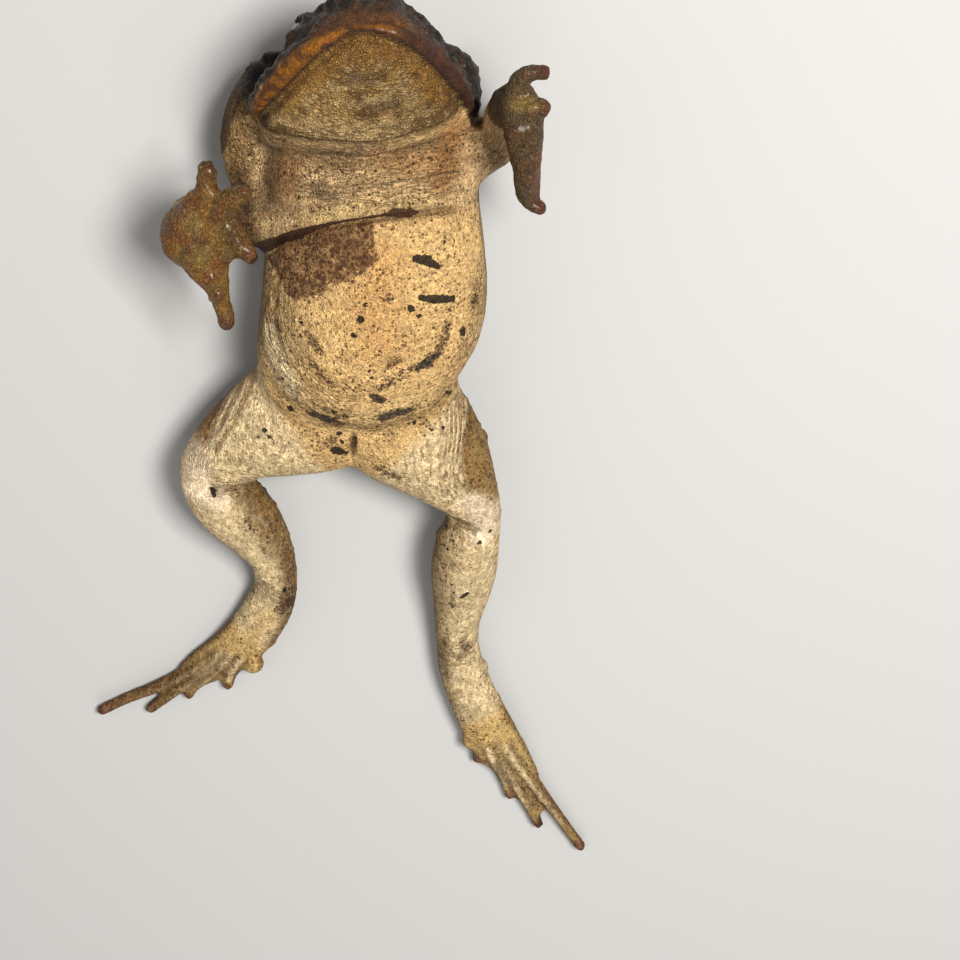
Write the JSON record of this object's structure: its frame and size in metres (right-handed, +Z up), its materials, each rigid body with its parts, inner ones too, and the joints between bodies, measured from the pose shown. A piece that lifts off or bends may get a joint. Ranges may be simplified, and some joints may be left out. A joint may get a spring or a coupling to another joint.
{
  "type": "cane toad",
  "caption": "Life-size cane toad lying on its back, belly up, head drawn up, arms folded over the chest and hind legs stretched out; a still display model.",
  "frame": {"origin": "on the floor, under the middle of the back where the toad rests", "axes": "+Z up, out of the belly; +Y from the vent towards the head; +X towards the toad's left side"},
  "size_m": [0.2208, 0.3975, 0.076],
  "materials": {
    "dark_skin": "matte, rough and warty",
    "throat_skin": "satin, finely granular",
    "belly_skin": "satin, speckled and wrinkled",
    "leg_skin": "satin, mottled and wrinkled",
    "sole_skin": "satin, with soft tubercles",
    "hand_skin": "damp, with rounded tubercles",
    "eye": "glossy, as a glass eye"
  },
  "bodies": {
    "root": {"head": "dark_skin", "lower_jaw": "throat_skin", "torso": "belly_skin", "upper_arm_left": "belly_skin", "upper_arm_right": "belly_skin", "forearm_left": "throat_skin", "forearm_right": "throat_skin", "hand_left": "hand_skin", "hand_right": "hand_skin", "thigh_left": "leg_skin", "thigh_right": "leg_skin", "shank_left": "leg_skin", "shank_right": "leg_skin", "tarsus_left": "leg_skin", "tarsus_right": "leg_skin", "foot_left": "sole_skin", "foot_right": "sole_skin", "eye_left": "eye", "eye_right": "eye"}
  },
  "joints": []
}
